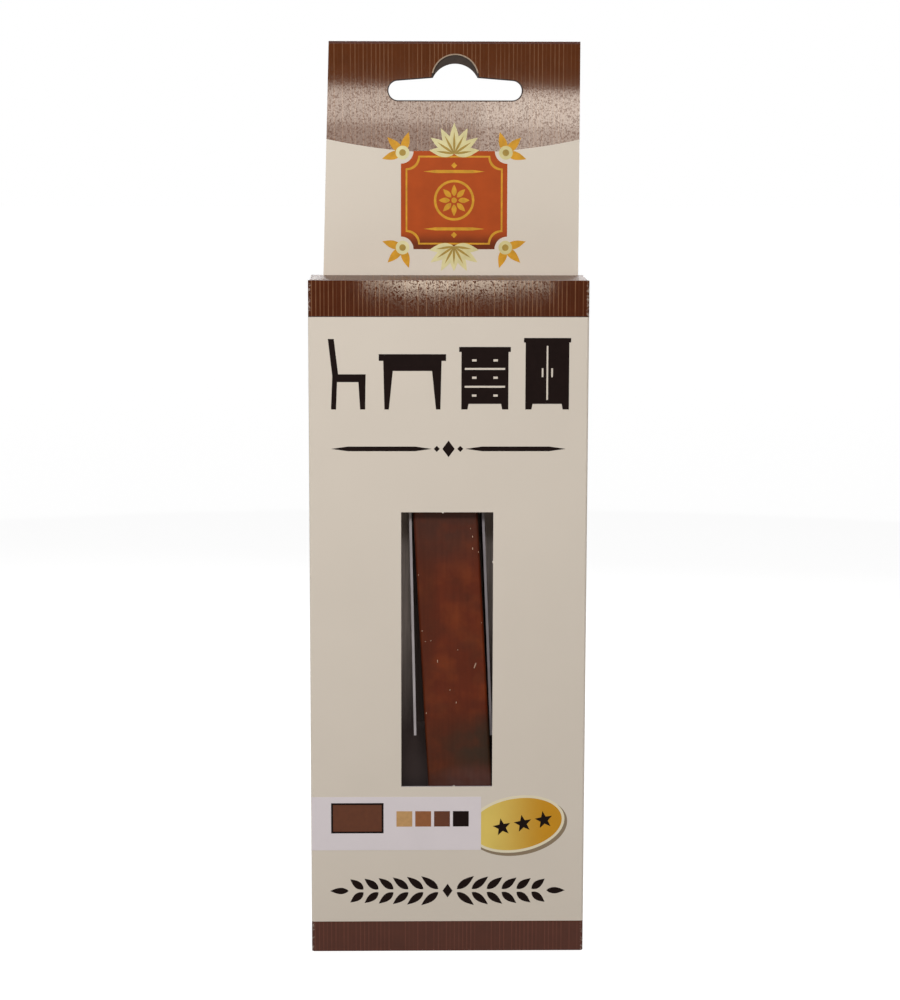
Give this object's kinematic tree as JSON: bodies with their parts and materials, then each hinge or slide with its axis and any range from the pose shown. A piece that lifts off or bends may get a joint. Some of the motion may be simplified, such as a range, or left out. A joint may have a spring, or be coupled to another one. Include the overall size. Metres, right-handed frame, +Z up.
{
  "type": "furniture repair wax stick",
  "caption": "Square wax stick for furniture repair, leaning in a board channel inside a windowed, tuck-ended hanging carton with a slotted double-ply tab.",
  "frame": {"origin": "middle of the carton's base, on the plane it stands on", "axes": "+X to the right across the windowed front, +Y from the front to the back, +Z up towards the hang tab"},
  "size_m": [0.05, 0.0161, 0.1658],
  "materials": {
    "printed_board": "satin",
    "brown_board": "satin",
    "plain_board": "matte",
    "wax": "satin",
    "label_paper": "satin"
  },
  "bodies": {
    "carton": {"front_panel": "printed_board", "back_panel": "printed_board", "left_side_panel": "printed_board", "right_side_panel": "printed_board", "glue_flap": "plain_board", "hang_tab_front_ply": "printed_board", "inner_channel": "plain_board", "shade_label": "label_paper"},
    "top_closure": {"top_closure": "brown_board"},
    "top_tuck_flap": {"top_tuck_flap": "plain_board"},
    "top_dust_flap_left": {"top_dust_flap_left": "printed_board"},
    "top_dust_flap_right": {"top_dust_flap_right": "printed_board"},
    "bottom_closure": {"bottom_closure": "brown_board"},
    "bottom_tuck_flap": {"bottom_tuck_flap": "plain_board"},
    "bottom_dust_flap_left": {"bottom_dust_flap_left": "printed_board"},
    "bottom_dust_flap_right": {"bottom_dust_flap_right": "printed_board"},
    "wax_stick": {"wax_stick": "wax"}
  },
  "joints": [
    {"name": "top_closure_crease", "type": "hinge", "parent": "carton", "child": "top_closure", "pos_m": [0, 0.0071, 0.1236], "axis": [-1, 0, 0], "range_deg": [0, 88]},
    {"name": "top_tuck_crease", "type": "hinge", "parent": "top_closure", "child": "top_tuck_flap", "pos_m": [0, -0.0067, 0.12315], "axis": [1, 0, 0], "range_deg": [0, 53]},
    {"name": "top_dust_left_crease", "type": "hinge", "parent": "carton", "child": "top_dust_flap_left", "pos_m": [-0.02455, 0, 0.12315], "axis": [0, -1, 0], "range_deg": [0, 36]},
    {"name": "top_dust_right_crease", "type": "hinge", "parent": "carton", "child": "top_dust_flap_right", "pos_m": [0.02455, 0, 0.12315], "axis": [0, 1, 0], "range_deg": [0, 36]},
    {"name": "bottom_closure_crease", "type": "hinge", "parent": "carton", "child": "bottom_closure", "pos_m": [0, 0.00755, 0], "axis": [1, 0, 0], "range_deg": [0, 120]},
    {"name": "bottom_tuck_crease", "type": "hinge", "parent": "bottom_closure", "child": "bottom_tuck_flap", "pos_m": [0, -0.0067, 0.00045], "axis": [-1, 0, 0], "range_deg": [0, 72]},
    {"name": "bottom_dust_left_crease", "type": "hinge", "parent": "carton", "child": "bottom_dust_flap_left", "pos_m": [-0.02455, 0, 0.00045], "axis": [0, 1, 0], "range_deg": [0, 48]},
    {"name": "bottom_dust_right_crease", "type": "hinge", "parent": "carton", "child": "bottom_dust_flap_right", "pos_m": [0.02455, 0, 0.00045], "axis": [0, -1, 0], "range_deg": [0, 48]},
    {"name": "wax_stick_slide", "type": "slide", "parent": "carton", "child": "wax_stick", "axis": [-0.0556, 0, 0.9985], "range_m": [0, 0.039]}
  ],
  "couplings": [
    {"joint": "top_tuck_crease", "follows": "top_closure_crease", "ratio": 0.6},
    {"joint": "top_dust_left_crease", "follows": "top_closure_crease", "ratio": 0.4},
    {"joint": "top_dust_right_crease", "follows": "top_closure_crease", "ratio": 0.4},
    {"joint": "bottom_tuck_crease", "follows": "bottom_closure_crease", "ratio": 0.6},
    {"joint": "bottom_dust_left_crease", "follows": "bottom_closure_crease", "ratio": 0.4},
    {"joint": "bottom_dust_right_crease", "follows": "bottom_closure_crease", "ratio": 0.4}
  ]
}
